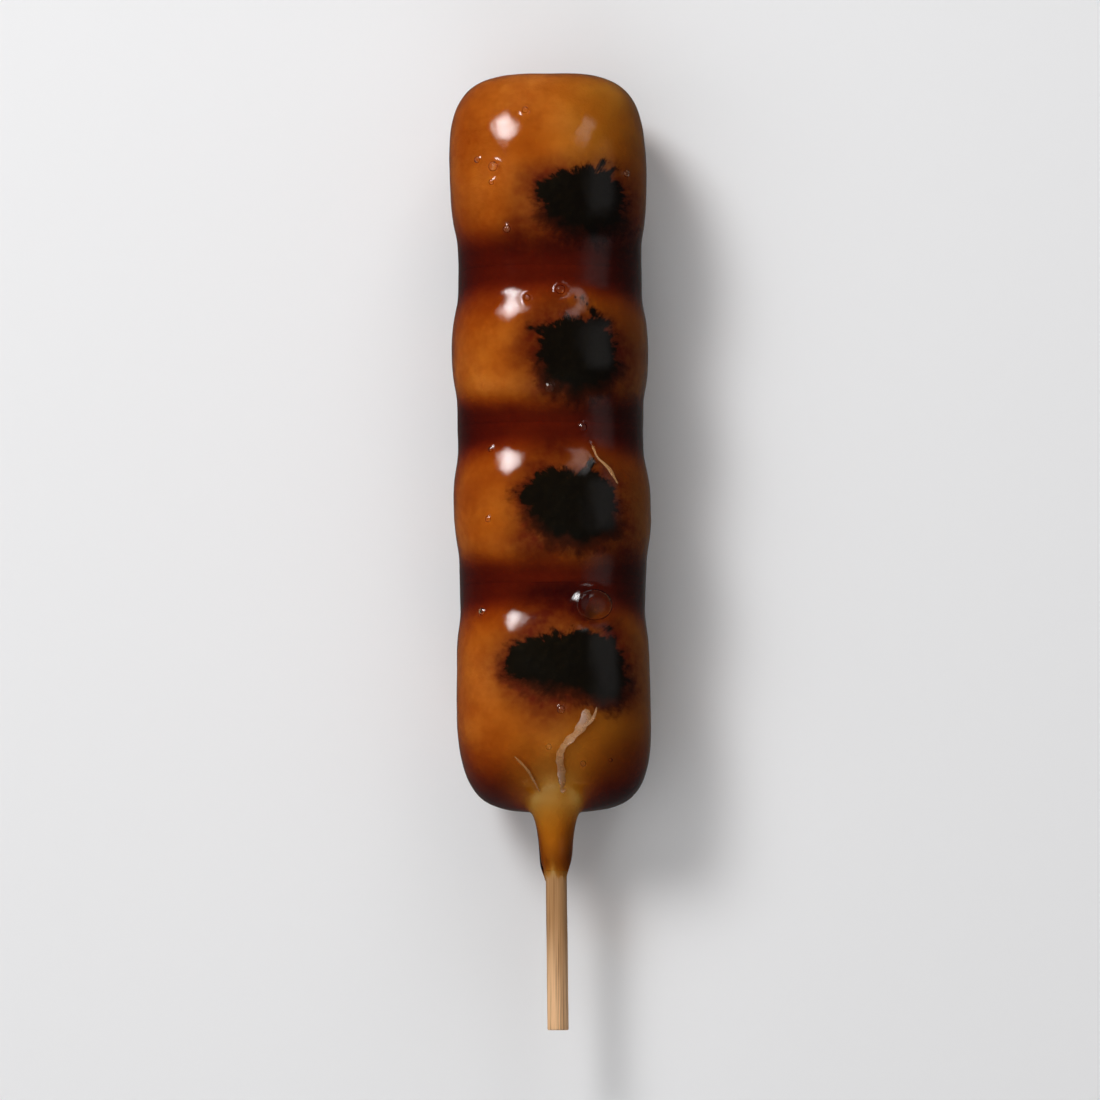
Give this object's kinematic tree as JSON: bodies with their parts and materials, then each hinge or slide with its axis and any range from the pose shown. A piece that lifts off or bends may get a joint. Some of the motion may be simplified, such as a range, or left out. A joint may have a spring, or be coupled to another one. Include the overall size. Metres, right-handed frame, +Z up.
{
  "type": "dango skewer",
  "caption": "Sweet soy glazed rice dumplings with grilled tops, pressed together on a round bamboo stick, lying on its side.",
  "frame": {"origin": "on the surface that the skewer lies on, under the middle of its length and width", "axes": "+Y along the skewer from the handle to the tip, +Z up towards the grilled side, +X to the right of both"},
  "size_m": [0.0285, 0.135, 0.0254],
  "materials": {
    "rice_dumpling": "soft toasted rice dough under a thin wet coat of amber sauce",
    "sauce": "thick clear amber-brown sauce, wet and glossy",
    "bamboo": "smooth split bamboo with fine long fibres"
  },
  "bodies": {
    "root": {"dango_1": "rice_dumpling", "dango_2": "rice_dumpling", "dango_3": "rice_dumpling", "dango_4": "rice_dumpling", "sauce_neck_1": "sauce", "sauce_neck_2": "sauce", "sauce_neck_3": "sauce", "sauce_end": "sauce", "stick": "bamboo"}
  },
  "joints": []
}
